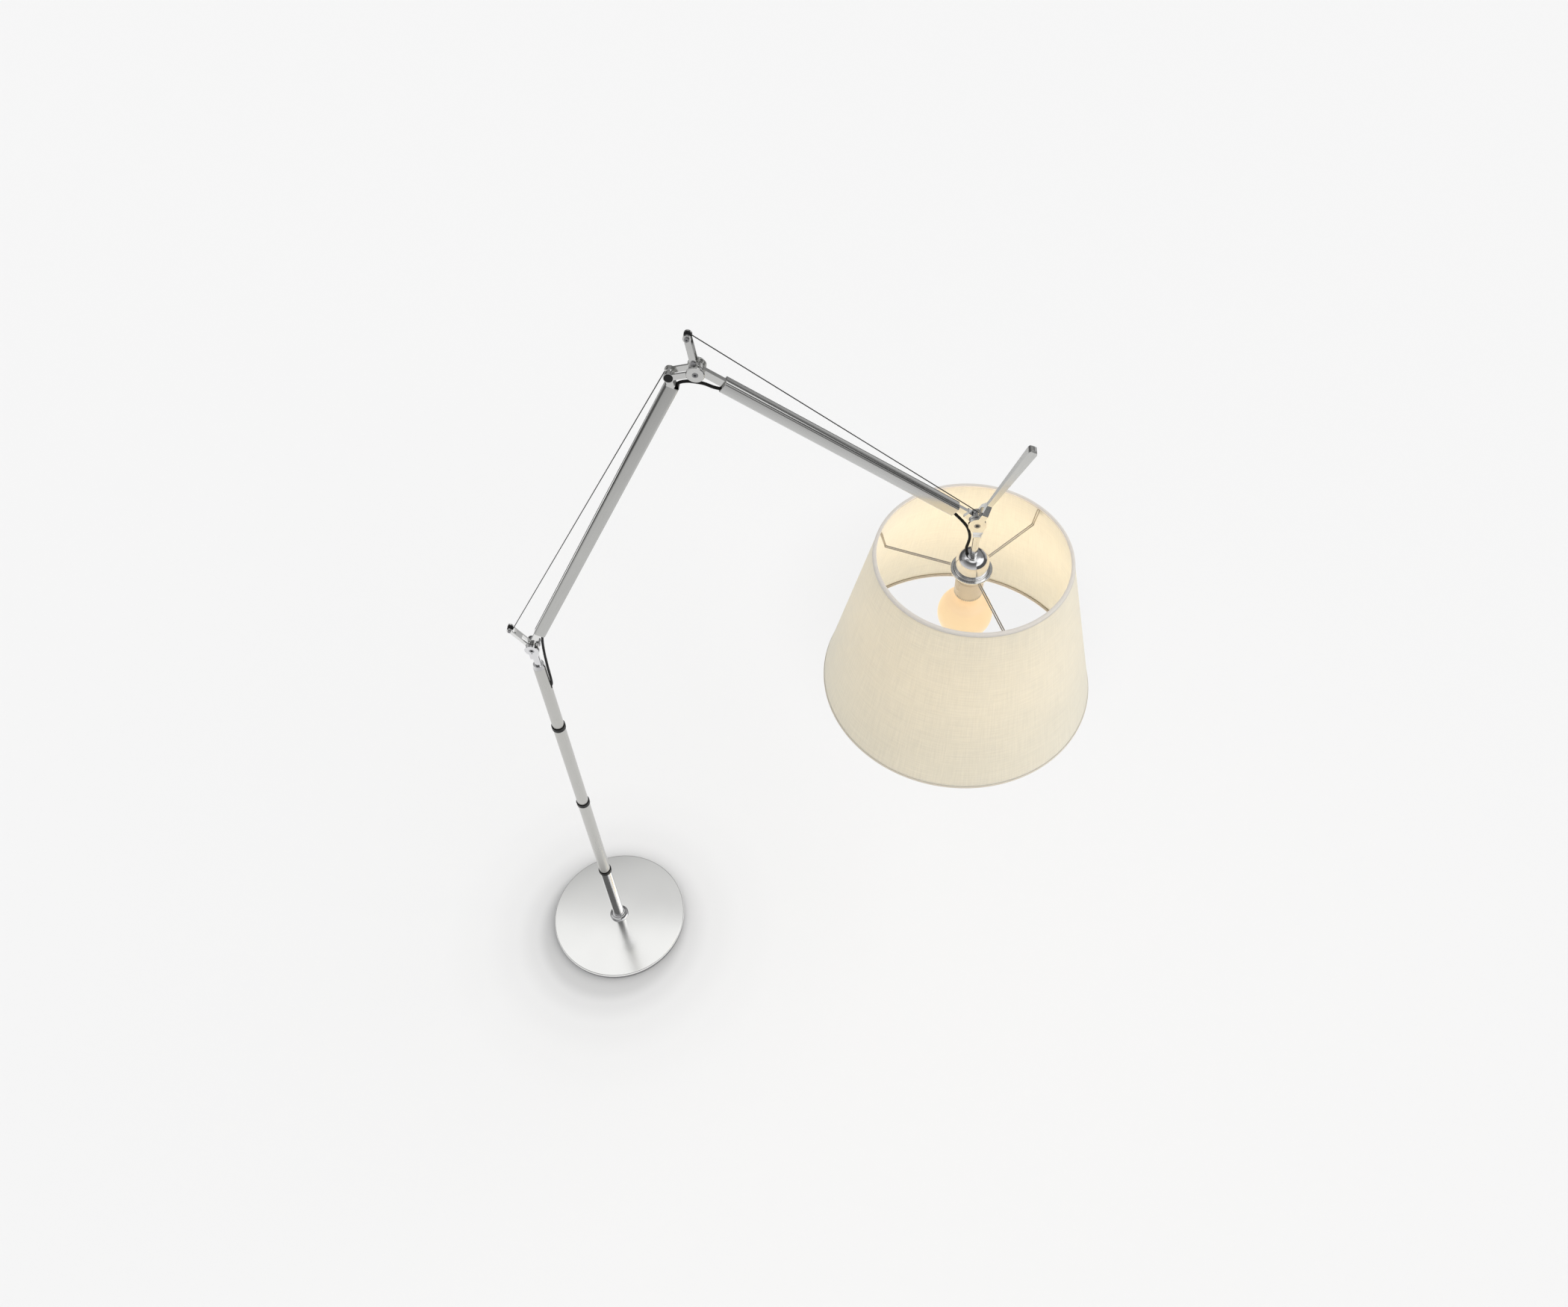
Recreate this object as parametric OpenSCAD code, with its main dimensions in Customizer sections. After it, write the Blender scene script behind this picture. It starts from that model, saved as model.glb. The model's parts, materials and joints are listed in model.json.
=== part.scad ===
// Adjustable arm floor lamp: round weighted base, telescopic pole, two spring-balanced
// arms moving in one upright plane, and a tapered fabric shade aimed with a handle.
// Millimetres, +Z up. The origin is the middle of the base's underside, and the arms
// reach along +X in the plane y = 0.

/* [Base] */
// Diameter of the base
base_d = 300; // [280:5:340]
// Height of the base
base_h = 18; // [18:1:24]

/* [Pole] */
// Height of the shoulder pivot above the floor
pivot_z = 1055; // [1040:5:1080]
// Outer diameter of the top section of the pole
pole_top_d = 21.2; // [20.8:0.1:22]
// How much wider each lower section is
pole_step = 1.1; // [1:0.05:1.3]
// Height of the lowest collar
collar_low_z = 247; // [235:1:260]
// Height of the middle collar
collar_mid_z = 545; // [530:1:560]
// Height of the highest collar
collar_top_z = 818; // [805:1:830]

/* [Arms] */
// Angle of the lower arm above the horizontal
arm1_angle = 63; // [60:0.5:66]
// Distance from the shoulder to the elbow, along the lower arm
arm1_len = 663.5; // [650:0.5:680]
// Angle of the upper arm below the horizontal
arm2_drop = 34.2; // [30:0.2:38]
// Distance from the elbow to the head pivot
arm2_len = 441; // [430:1:460]
// Height of the arm tubes' section, in the plane of the arms
tube_h = 18.6; // [18:0.1:20]
// Thickness of the arm tubes' section, across the plane
tube_t = 15.5; // [15:0.1:17]

/* [Shade] */
// Outer diameter of the shade's upper rim
shade_top_d = 282; // [260:2:300]
// Outer diameter of the shade's lower rim
shade_bottom_d = 420; // [400:5:440]
// Height of the shade
shade_h = 287; // [270:1:300]
// Diameter of the globe bulb
bulb_d = 81; // [75:1:95]

/* [Hidden] */

$fn = 64;
run = 0.05;            // radial clearance of a running fit
axle_r = 3;            // pivot bolts of the three arm joints
web = 3;               // half thickness of the knuckles between the plates
washer_y = [3.05, 3.55];
lever_y = [3.6, 6];    // plates that carry the wires
cheek_y = [6, 8.4];    // elbow plates outside them
fork_y = [6, 10];      // cheeks of the shoulder fork
yoke_y = [6, 10.5];    // cheeks of the head yoke
tube_r = 3.5;          // corner radius of the arm tubes
tube_wall = 1.5;
insert_z = [-2.4, 5.7, 7.7];  // fittings fill the upper part of each tube, over the lead; the crown is narrower
insert_y = [6.2, 4.2];
lead_d = 4.2;
lead_z = -5.3;         // height of the lead inside an arm tube
wire_d = 1.4;
wire_z = 3.2;          // height of the pull wire inside an arm tube
pole_wall = 0.5;
collar_h = 9;

shoulder = [0, 0, pivot_z];
elbow = shoulder + from_arm1([arm1_len, -17]);
head = elbow + from_arm2([arm2_len, 0]);
lever1_tip = [-28, 45.5];          // from the shoulder, upright plane
pulley1 = [arm1_len - 22.5, 9.5];  // in the lower arm's own frame
lever2_tip = [arm1_len + 41.5, 11];
pulley1_r = 6.3;
pulley2 = [arm2_len - 9, 8.4];     // in the upper arm's own frame
pulley2_r = 5.2;
arm1_tube_x = [43, arm1_len - 35.5];
arm2_tube_x = [38, arm2_len - 38];

stem_x = 2.5;                      // the lamp's own axis stands this far beyond the head pivot
cap_top = -68;                     // heights of the lamp from the head pivot
flange_z = -97.8;
holder_z = [-150.6, -104.8];
bulb_z = -199;
shade_z = [-72.6 - shade_h, -72.6];
handle_angle = 67;
spoke_angles = [45, 163, 291];

// The stretches of lead outside the arms, as points from the nearest pivot in the plane y = 0.
// Each starts or ends in line with the lead inside its arm, so those points follow the arm.
shoulder_route = concat([flat(from_arm1([43.9, lead_z])), flat(from_arm1([37, lead_z - 0.2]))],
    [[18.6, 14], [17, -1], [16, -14], [15.2, -26], [14.8, -38]]);
neck_route = [[14.75, -38.15], [14.1, -56], [13.7, -76], [13.2, -93], [11.9, -104.5], [8.6, -112.5],
    [4.6, -119], [2, -128], [1, -140]];
elbow_route = concat([flat(from_arm1([arm1_tube_x[1] - 1.1 - arm1_len, lead_z + 17])),
    flat(from_arm1([arm1_tube_x[1] + 6 - arm1_len, lead_z + 16.2]))],
    [[-13, -18.6], [-3, -19.4], [8, -21.6], [19, -26.6]],
    [flat(from_arm2([arm2_tube_x[0] + 1, -8.6])), flat(from_arm2([arm2_tube_x[0] + 7, -6.2])),
     flat(from_arm2([arm2_tube_x[0] + 13.9, lead_z]))]);
head_route = concat([flat(from_arm2([-46.9, lead_z])), flat(from_arm2([-41, lead_z - 0.2]))],
    [[-27.6, 7.6], [-19, -3], [-12.4, -13], [-8.4, -24], [-6.6, -35], [-7.6, -46], [-9, -56], [-7.6, -66],
     [-6.5, -76], [-5.8, -86]]);
tube_hole = [10.3, -109.4];        // where the lead enters the pole, from the shoulder
tube_hole_lean = 20;

// ---- frames and small shapes -------------------------------------------------------

function from_arm1(p) = [p[0] * cos(arm1_angle) - p[1] * sin(arm1_angle), 0,
                         p[0] * sin(arm1_angle) + p[1] * cos(arm1_angle)];
function from_arm2(p) = [p[0] * cos(arm2_drop) + p[1] * sin(arm2_drop), 0,
                         -p[0] * sin(arm2_drop) + p[1] * cos(arm2_drop)];
function flat(p) = [p[0], p[2]];
function section_r(k) = (pole_top_d + k * pole_step) / 2;

module in_arm1() translate(shoulder) rotate([0, -arm1_angle, 0]) children();
module in_arm2() translate(elbow) rotate([0, arm2_drop, 0]) children();
module in_head() translate(head) children();
module on_lamp_axis() translate(head + [stem_x, 0, 0]) children();
module at(p) translate([p[0], 0, p[1]]) children();
module mirrored() {
    children();
    mirror([0, 1, 0]) children();
}

// A cylinder along Y between two places
module across(r, y) translate([0, y[0], 0]) rotate([-90, 0, 0]) cylinder(r = r, h = y[1] - y[0]);

// A flat bar in the upright plane, from p to q, w wide
module bar(p, q, w, y) {
    d = q - p;
    translate([p[0], y[0], p[1]]) rotate([0, -atan2(d[1], d[0]), 0])
        translate([0, 0, -w / 2]) cube([norm(d), y[1] - y[0], w]);
}

// A block in an arm's frame
module block(x, y, z) translate([x[0], y[0], z[0]]) cube([x[1] - x[0], y[1] - y[0], z[1] - z[0]]);

// The end of a fitting that fills the upper part of an arm tube
module insert(x) {
    block(x, [-insert_y[0], insert_y[0]], [insert_z[0], insert_z[1]]);
    block(x, [-insert_y[1], insert_y[1]], [insert_z[0], insert_z[2]]);
}

// A round rod in the upright plane, from p to q
module rod(p, q, d) {
    v = q - p;
    at(p) rotate([0, atan2(v[0], v[1]), 0]) cylinder(d = d, h = norm(v), $fn = 16);
}

// A closed ring about Z with a round section
module ring(r, d, z) translate([0, 0, z]) rotate_extrude($fn = 96) translate([r, 0]) circle(d = d, $fn = 16);

// A grooved wheel about Y for the wire
module sheave(r, half, groove, bore) difference() {
    rotate([-90, 0, 0]) rotate_extrude()
        polygon([[bore, -half], [r, -half], [r, -groove], [r - groove, 0], [r, groove], [r, half], [bore, half]]);
    across(bore, [-half - 1, half + 1]);
}

// Socket-headed screw along Y; its head is at the near side
module socket_screw(r, head_r, y, head_h, key) difference() {
    union() {
        across(r, y);
        across(head_r, [y[0], y[0] + head_h]);
    }
    translate([0, y[0] - 1, 0]) rotate([-90, 0, 0]) cylinder(r = key, h = 1 + head_h * 0.7, $fn = 6);
}

module rounded(h, t, r) {
    square([h - 2 * r, t], center = true);
    square([h, t - 2 * r], center = true);
    for (x = [-1, 1], y = [-1, 1]) translate([x * (h / 2 - r), y * (t / 2 - r)]) circle(r = r, $fn = 32);
}

module arm_tube(x) difference() {
    translate([x[0], 0, 0]) rotate([0, 90, 0]) linear_extrude(x[1] - x[0]) rounded(tube_h, tube_t, tube_r);
    translate([x[0] - 1, 0, 0]) rotate([0, 90, 0]) linear_extrude(x[1] - x[0] + 2)
        rounded(tube_h - 2 * tube_wall, tube_t - 2 * tube_wall, tube_r - tube_wall);
}

module coil_spring(x) translate([x[0], 0, 2.3]) rotate([0, 90, 0]) difference() {
    cylinder(r = 4.9, h = x[1] - x[0]);
    translate([0, 0, -1]) cylinder(r = 3.7, h = x[1] - x[0] + 2);
}

// ---- leads: a tube swept along a smooth curve through the route's points -------------

function bend(a, b, c, d, t) = 0.5 * (2 * b + (c - a) * t + (2 * a - 5 * b + 4 * c - d) * t * t
    + (3 * b - a - 3 * c + d) * t * t * t);
function smooth(p, n) = [
    for (i = [0 : len(p) - 2], k = [0 : n - 1])
        bend(p[max(i - 1, 0)], p[i], p[i + 1], p[min(i + 2, len(p) - 1)], k / n),
    p[len(p) - 1]];
function heading(p, i) = let (d = p[min(i + 1, len(p) - 1)] - p[max(i - 1, 0)]) d / norm(d);

module lead(route, sides = 10) {
    line = smooth(route, 2);
    last = len(line) - 1;
    points = [for (i = [0 : last], j = [0 : sides - 1])
        let (t = heading(line, i), a = 360 * j / sides, r = lead_d / 2)
        [line[i][0] - t[1] * r * cos(a), r * sin(a), line[i][1] + t[0] * r * cos(a)]];
    walls = [for (i = [0 : last - 1], j = [0 : sides - 1])
        let (k = (j + 1) % sides)
        [i * sides + j, i * sides + k, (i + 1) * sides + k, (i + 1) * sides + j]];
    ends = [[for (j = [sides - 1 : -1 : 0]) j], [for (j = [0 : sides - 1]) last * sides + j]];
    polyhedron(points, concat(walls, ends));
}

// Where a wire leaves a wheel of radius r at c, on the side that the turn picks
function tangent(c, way, r, turn) = c + r * turn * [-way[1], way[0]];

module wire(a, ra, ta, b, rb, tb) {
    way = (b - a) / norm(b - a);
    rod(tangent(a, way, ra, ta), tangent(b, way, rb, tb), wire_d);
}

// ---- base ----------------------------------------------------------------------------

pad_h = 1.5;
cover_t = 1.5;
weight_r = base_d / 2 - 1;
weight_top = base_h - cover_t;
seam_z = [10.4, 11.6];
pole_foot_z = 12;
lead_slot = 7;
foot_lead_y = 8;

module base_pad() color("dimgray") cylinder(r = weight_r - 3, h = pad_h, $fn = 96);

module base_weight() color("darkgray") difference() {
    rotate_extrude($fn = 96) polygon([
        [0, pad_h], [weight_r - 0.8, pad_h], [weight_r, pad_h + 0.8], [weight_r, seam_z[0]],
        [weight_r - 1.8, seam_z[0]], [weight_r - 1.8, seam_z[1]], [weight_r - 0.6, seam_z[1]],
        [weight_r - 0.6, weight_top], [0, weight_top]]);
    translate([0, 0, pole_foot_z]) cylinder(r = section_r(3), h = base_h);
    cylinder(r = 11, h = 7.5);
    cylinder(r = 5.2, h = base_h);
    translate([-lead_slot / 2, 0, 0]) cube([lead_slot, base_d, pad_h + lead_slot]);
    translate([0, foot_lead_y, 0]) cylinder(r = 2.6, h = base_h);
}

module base_cover() color("silver") rotate_extrude($fn = 96) polygon(concat(
    [[section_r(3) + 0.4, weight_top], [section_r(3) + 0.4, base_h]],
    [for (a = [0 : 15 : 90]) [base_d / 2 - 2.2 + 2.2 * sin(a), base_h - 2.2 + 2.2 * cos(a)]],
    [[base_d / 2, seam_z[1]], [base_d / 2 - 1.4, seam_z[1]], [base_d / 2 - 1.4, weight_top]]));

module base_hub() color("gainsboro") translate([0, 0, base_h]) rotate_extrude($fn = 96) polygon(concat(
    [[section_r(3), 0], [21, 0], [21, 1.2], [20, 2]],
    [for (a = [15 : 15 : 90]) [14.2 + 5.8 * (1 - sin(a)), 2 + 9.5 * (1 - cos(a))]],
    [[14.2, 13], [13.4, 14], [section_r(3), 14]]));

module foot_plug() color("slategray") difference() {
    translate([0, 0, pole_foot_z]) cylinder(r = section_r(3) - pole_wall, h = 16);
    cylinder(r = 5, h = 40);
    translate([0, foot_lead_y, 0]) cylinder(r = 2.6, h = 40);
}

module base_bolt() color("slategray") {
    translate([0, 0, pad_h]) cylinder(r = 9, h = 5.9, $fn = 6);
    translate([0, 0, pad_h + 5.9]) cylinder(r = 5, h = 20);
}

module cord_inlet() color("black") translate([0, 0, pad_h + lead_slot / 2]) difference() {
    union() {
        across(lead_slot / 2, [weight_r - 12, weight_r + 1]);
        across(4.3, [weight_r + 0.1, weight_r + 2]);
    }
    across(2.6, [weight_r - 13, weight_r + 3]);
}

// ---- pole: each section slides in the collar of the one below ------------------------

module pole_tube(k, z) difference() {
    translate([0, 0, z[0]]) cylinder(r = section_r(k), h = z[1] - z[0]);
    translate([0, 0, z[0] - 1]) cylinder(r = section_r(k) - pole_wall, h = z[1] - z[0] + 2);
}

// The collar on top of section k, with the section above sliding in it
module collar(k, z) translate([0, 0, z - collar_h / 2]) color("black") difference() {
    cylinder(r = section_r(k) + 1.3, h = collar_h);
    translate([0, 0, -1]) cylinder(r = section_r(k), h = collar_h - 0.5);
    cylinder(r = section_r(k - 1) + run, h = collar_h + 1);
}

function tube_top(z) = z + collar_h / 2 - 1.5;
ferrule_z = [pivot_z - 55, pivot_z - 47];

module pole_tube_4() color("gainsboro") pole_tube(3, [pole_foot_z, tube_top(collar_low_z)]);
module collar_3() collar(3, collar_low_z);
module pole_tube_3() color("silver") pole_tube(2, [collar_low_z - 90, tube_top(collar_mid_z)]);
module collar_2() collar(2, collar_mid_z);
module pole_tube_2() color("silver") pole_tube(1, [collar_mid_z - 90, tube_top(collar_top_z)]);
module collar_1() collar(1, collar_top_z);

module pole_tube_1() color("silver") difference() {
    pole_tube(0, [collar_top_z - 90, ferrule_z[0]]);
    at(flat(shoulder) + tube_hole) rotate([0, tube_hole_lean, 0]) cylinder(r = 3, h = 24, center = true);
}

module pole_ferrule() color("gainsboro") difference() {
    union() {
        translate([0, 0, ferrule_z[0]]) cylinder(r1 = section_r(0), r2 = section_r(0) - 1.8, h = 8);
        translate([0, 0, ferrule_z[0] - 24]) cylinder(r = section_r(0) - pole_wall, h = 24);
    }
    translate([0, 0, ferrule_z[0] - 25]) cylinder(r = 5 + run, h = 40);
}

// The coiled lead inside the pole, as the outer form of its turns
module pole_lead_coil() color("black") translate([0, 0, 40]) rotate_extrude()
    polygon([[3.6, 0], [8, 0], [8, 330], [3.6, 330]]);

// ---- swivel fork and shoulder --------------------------------------------------------

module swivel_fork() color("gainsboro") translate(shoulder) difference() {
    union() {
        translate([0, 0, -79]) cylinder(r = 5, h = 40);
        translate([0, 0, -46.6]) cylinder(r = 6, h = 26);
        block([-6, 6], [-fork_y[1], fork_y[1]], [-22, -15]);
        mirrored() {
            across(11.7, fork_y);
            block([-6, 6], fork_y, [-20, 0]);
        }
    }
    across(axle_r + run, [-20, 20]);
    across(4.4, [-11, -6.8]);
    at([-1, -6.6]) across(1.3, [-11, -7]);
}

module plates(p, root_r, w, tip_r, span) {
    mirrored() difference() {
        union() {
            across(root_r, lever_y);
            bar([0, 0], p, w, lever_y);
            at(p) across(tip_r, lever_y);
        }
        across(axle_r + run, [0, 20]);
        at(p) across(1.5, [0, 20]);
    }
    bar(p * span[0], p * span[1], w - 1, [-lever_y[0], lever_y[0]]);
}

module lower_lever() color("silver") translate(shoulder) plates(lever1_tip, 9, 6, 4.6, [0.52, 0.78]);

module lower_lever_roller() color("black") translate(shoulder) at(lever1_tip) sheave(4.5, 3.5, 1.2, 1.6);

module shoulder_screws() color("dimgray") translate(shoulder) {
    at(lever1_tip) socket_screw(1.45, 2.6, [-7.6, 6.8], 1.6, 1.2);
    at([-1, -6.6]) across(1.25, [-9.8, -7.1]);
}

module shoulder_axle() color("dimgray") translate(shoulder)
    socket_screw(axle_r, 4.3, [-9.8, 13], 3, 2.6);

module shoulder_washers() color("black") translate(shoulder) {
    mirrored() difference() {
        across(8.5, washer_y);
        across(axle_r + run, [0, 20]);
    }
    difference() {
        across(11, [fork_y[1] + 0.05, 11.2]);
        across(axle_r + run, [0, 20]);
    }
}

module shoulder_knob() color("silver") translate(shoulder) difference() {
    union() {
        across(11.7, [11.2, 13.4]);
        across(10.6, [13.4, 14.2]);
    }
    across(axle_r, [0, 13]);
}

module lead_neck() color("black") translate(shoulder) lead(neck_route);

// ---- lower arm -----------------------------------------------------------------------

module shoulder_knuckle() color("silver") in_arm1() difference() {
    union() {
        across(10, [-web, web]);
        block([6, arm1_tube_x[0] + 1], [-web, web], [insert_z[0], insert_z[2]]);
        insert([arm1_tube_x[0] + 0.5, arm1_tube_x[0] + 28]);
    }
    across(axle_r + run, [-20, 20]);
}

module arm1_tube() color("silver") in_arm1() arm_tube(arm1_tube_x);

module arm1_spring() color("gray") in_arm1() coil_spring([78, 560]);

module arm1_lead() color("black") in_arm1() translate([arm1_tube_x[0] + 1.4, 0, lead_z])
    rotate([0, 90, 0]) cylinder(d = lead_d, h = arm1_tube_x[1] - arm1_tube_x[0] - 2.9, $fn = 16);

module arm1_wire() color("gray") wire(flat(shoulder) + lever1_tip, 4.4, -1,
    flat(shoulder + from_arm1(pulley1)), pulley1_r, 1);

module elbow_bracket() color("silver") in_arm1() difference() {
    union() {
        insert([arm1_tube_x[1] - 28, arm1_tube_x[1] + 1]);
        block([arm1_tube_x[1] + 0.3, arm1_tube_x[1] + 6], [-cheek_y[1], cheek_y[1]], [insert_z[0], insert_z[2]]);
        mirrored() {
            at(pulley1) across(6.8, cheek_y);
            at([arm1_len, -17]) across(10, cheek_y);
            bar([arm1_tube_x[1] + 3, 2.6], pulley1, 9, cheek_y);
            bar(pulley1, [arm1_len, -17], 8.5, cheek_y);
        }
    }
    at([arm1_len, -17]) across(axle_r + run, [-20, 20]);
    at(pulley1) across(2, [-20, 20]);
    at([arm1_tube_x[1] - 30, wire_z]) rotate([0, 90, 0]) cylinder(r = 1.5, h = 40);
}

module at_elbow() in_arm1() at([arm1_len, -17]) children();
lever2 = lever2_tip - [arm1_len, -17];

module elbow_lever() color("silver") at_elbow() plates(lever2, 9, 8, 5.2, [0.5, 0.76]);

module elbow_lever_roller() color("black") at_elbow() at(lever2) sheave(5, 3.5, 1.2, 1.6);

module elbow_screws() color("dimgray") at_elbow() {
    at(lever2) socket_screw(1.45, 3, [-7.8, 6.8], 1.8, 1.4);
    at(lever2 * 0.28) across(3.4, [-7.6, -lever_y[1]]);
}

module elbow_axle() color("dimgray") at_elbow() socket_screw(axle_r, 3.6, [-11.2, 10.6], 2.6, 2.1);

module elbow_washers() color("black") at_elbow() mirrored() difference() {
    across(8.5, washer_y);
    across(axle_r + run, [0, 20]);
}

module elbow_discs() color("silver") at_elbow() difference() {
    mirrored() {
        across(11.75, [cheek_y[1] + 0.05, 10.4]);
        across(11, [10.4, 11]);
    }
    across(axle_r, [0, 20]);
    across(3.6, [-20, 0]);
}

module pulley_pin() color("black") in_arm1() at(pulley1) {
    across(1.95, [-cheek_y[1] - 0.1, cheek_y[1]]);
    across(5.7, [-cheek_y[1] - 0.9, -cheek_y[1] - 0.05]);
}

module arm1_pulley() color("silver") in_arm1() at(pulley1) sheave(pulley1_r, 5.7, 1.3, 1.95 + run);

module lead_shoulder() color("black") translate(shoulder) lead(shoulder_route);

// ---- upper arm -----------------------------------------------------------------------

module elbow_knuckle() color("silver") in_arm2() difference() {
    union() {
        across(9.5, [-web, web]);
        block([6, arm2_tube_x[0] + 1], [-web, web], [-3, insert_z[2]]);
        insert([arm2_tube_x[0] + 0.5, arm2_tube_x[0] + 26]);
    }
    across(axle_r + run, [-20, 20]);
}

module arm2_tube() color("silver") in_arm2() difference() {
    arm_tube(arm2_tube_x);
    block([arm2_tube_x[0] - 1, arm2_tube_x[0] + 11], [-2.6, 2.6], [-20, lead_z]);
    block([arm2_tube_x[1] - 4, arm2_tube_x[1] + 1], [-2.6, 2.6], [-20, lead_z]);
}

module arm2_spring() color("gray") in_arm2() coil_spring([74, 355]);

module arm2_lead() color("black") in_arm2() translate([arm2_tube_x[0] + 14.3, 0, lead_z])
    rotate([0, 90, 0]) cylinder(d = lead_d, h = arm2_tube_x[1] - arm2_tube_x[0] - 23.6, $fn = 16);

module arm2_wire() color("gray") wire(flat(elbow) + flat(from_arm1(lever2)), 4.9, 1,
    flat(elbow + from_arm2(pulley2)), pulley2_r - 0.2, 1);

module arm2_tongue() color("silver") in_arm2() difference() {
    union() {
        insert([arm2_tube_x[1] - 28, arm2_tube_x[1] - 0.5]);
        block([arm2_tube_x[1] - 1, arm2_len - 20], [-web, web], [-1, insert_z[2]]);
        bar([arm2_len - 22, 3.2], [arm2_len, 0], 10, [-5.4, 5.4]);
        at([arm2_len, 0]) across(6.5, [-5.4, 5.4]);
        at(pulley2) across(4.5, [-5.4, 5.4]);
    }
    at([arm2_len, 0]) across(axle_r + run, [-20, 20]);
    at(pulley2) across(1.5 + run, [-20, 20]);
    at(pulley2) across(6.3, [-3.9, 3.9]);
    translate([arm2_tube_x[1] - 30, 0, wire_z]) rotate([0, 90, 0]) cylinder(r = 1.5, h = 42);
}

module arm2_pulley() color("gainsboro") in_arm2() at(pulley2) {
    sheave(pulley2_r, 3.8, 1.2, 1.5);
    across(1.5, [-5.3, 5.3]);
}

module lead_elbow() color("black") translate(elbow) lead(elbow_route);

// ---- head and lamp -------------------------------------------------------------------

handle_x = [34, 148];     // along the handle from the head pivot
handle_root = [7, 6.6];   // width and thickness
handle_tip = [12, 12];

// One side of the yoke's root for the handle, along the handle's own axis
module handle_root_half() intersection() {
    linear_extrude(20, center = true)
        polygon([[0, yoke_y[0]], [20, yoke_y[0]], [27, 0], [handle_x[0], 0], [handle_x[0], 3.3], [21, yoke_y[1]],
                 [0, yoke_y[1]]]);
    rotate([90, 0, 0]) linear_extrude(30, center = true)
        polygon([[0, -4.6], [20, -4.6], [40, -3.2], [40, 3.2], [20, 4.6], [0, 4.6]]);
}

// One side of the block that carries the lamp's stem
module stem_block_half() intersection() {
    rotate([90, 0, 90]) linear_extrude(40, center = true)
        polygon([[yoke_y[0], -6], [yoke_y[1], -6], [yoke_y[1], -13], [5.6, -24], [5.6, -30], [0, -30], [0, -21],
                 [yoke_y[0], -15]]);
    rotate([90, 0, 0]) linear_extrude(40, center = true)
        polygon([[-5, 0], [9.6, 0], [9.6, -12], [stem_x + 5.6, -24], [stem_x + 5.6, -31], [stem_x - 5.6, -31],
                 [stem_x - 5.6, -24], [-5, -12]]);
}

module head_yoke() color("silver") {
    in_head() difference() {
        mirrored() {
            across(12.3, yoke_y);
            rotate([0, -handle_angle, 0]) handle_root_half();
            stem_block_half();
        }
        across(axle_r + run, [-20, 20]);
        across(4.4, [-11, -7.2]);
    }
    on_lamp_axis() difference() {
        translate([0, 0, -108]) cylinder(r = 5, h = 79);
        translate([0, 0, -109]) cylinder(r = 3.4, h = 60);
    }
}

// A blade that widens both ways to a rounded tip
module aim_handle() color("silver") in_head() rotate([0, -handle_angle, 0]) intersection() {
    r = handle_tip[0] / 2;
    tip = handle_x[1] - r;
    rotate([90, 0, 0]) linear_extrude(20, center = true) {
        polygon([[handle_x[0], -handle_root[0] / 2], [tip, -r], [tip, r], [handle_x[0], handle_root[0] / 2]]);
        translate([tip, 0]) circle(r = r);
    }
    linear_extrude(20, center = true) {
        q = handle_tip[1] / 2;
        polygon([[handle_x[0], -handle_root[1] / 2], [handle_x[1] - 2, -q], [handle_x[1], -q + 2],
                 [handle_x[1], q - 2], [handle_x[1] - 2, q], [handle_x[0], handle_root[1] / 2]]);
    }
}

module head_axle() color("dimgray") in_head() socket_screw(axle_r, 4.3, [-10.4, 10.2], 3, 2.6);

module lead_head() color("black") in_head() lead(head_route);

module lamp_cap() color("gainsboro") difference() {
    on_lamp_axis() rotate_extrude($fn = 96) polygon(concat(
        [[5.1, cap_top - 1], [5.1, cap_top]],
        [for (a = [90 : -10 : 0]) [7.9 + 16 * cos(a), cap_top - 16 + 16 * sin(a)]],
        [[23.9, flange_z], [22.9, flange_z]],
        [for (a = [0 : 10 : 90]) [7.9 + 15 * cos(a), cap_top - 16 + 15 * sin(a)]]));
    in_head() translate([-6.8, 0, cap_top - 8]) cylinder(r = 2.5, h = 12);
}

module shade_flange() color("silver") on_lamp_axis() rotate_extrude($fn = 96) polygon([
    [17, flange_z - 3.4], [29.6, flange_z - 3.4], [30.3, flange_z - 2.8], [30.3, flange_z - 1],
    [29.4, flange_z - 0.1], [26, flange_z - 0.1], [25, flange_z - 0.8], [22, flange_z - 0.1],
    [17, flange_z - 0.1]]);

spoke_z = flange_z - 3.5;
spoke_kink = [129, spoke_z - 0.8];
ring_d = 3.2;
rim_inset = 2.6;

module spider() color("silver") on_lamp_axis() {
    translate([0, 0, spoke_z - 2]) rotate_extrude($fn = 96) translate([17, 0]) square([6.5, 1.9]);
    for (a = spoke_angles) rotate([0, 0, a]) {
        bar([21, spoke_kink[1]], spoke_kink, 1.6, [-1.8, 1.8]);
        bar(spoke_kink + [-0.6, -0.4], [shade_top_d / 2 - 3.6, shade_z[1] - 2.6], 1.6, [-1.8, 1.8]);
    }
}

// Barrel with a ceiling, a stepped skirt and the screw shell that takes the bulb
module lamp_holder() color("ivory") on_lamp_axis() rotate_extrude($fn = 96) polygon([
    [5.05, holder_z[1]], [19.2, holder_z[1]], [19.2, holder_z[1] - 12], [20.4, holder_z[1] - 13],
    [20.4, holder_z[0] + 0.6], [19.8, holder_z[0]], [17.8, holder_z[0]], [17.8, holder_z[0] + 22],
    [14.6, holder_z[0] + 24], [14.6, holder_z[0] + 6], [13.5, holder_z[0] + 6],
    [13.5, holder_z[0] + 32], [5.05, holder_z[0] + 36]]);

module bulb_cap() color("silver") on_lamp_axis() translate([0, 0, holder_z[0] + 3]) {
    cylinder(r = 13.3, h = 22);
    translate([0, 0, 22]) cylinder(r1 = 13.3, r2 = 5, h = 4);
}

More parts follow.
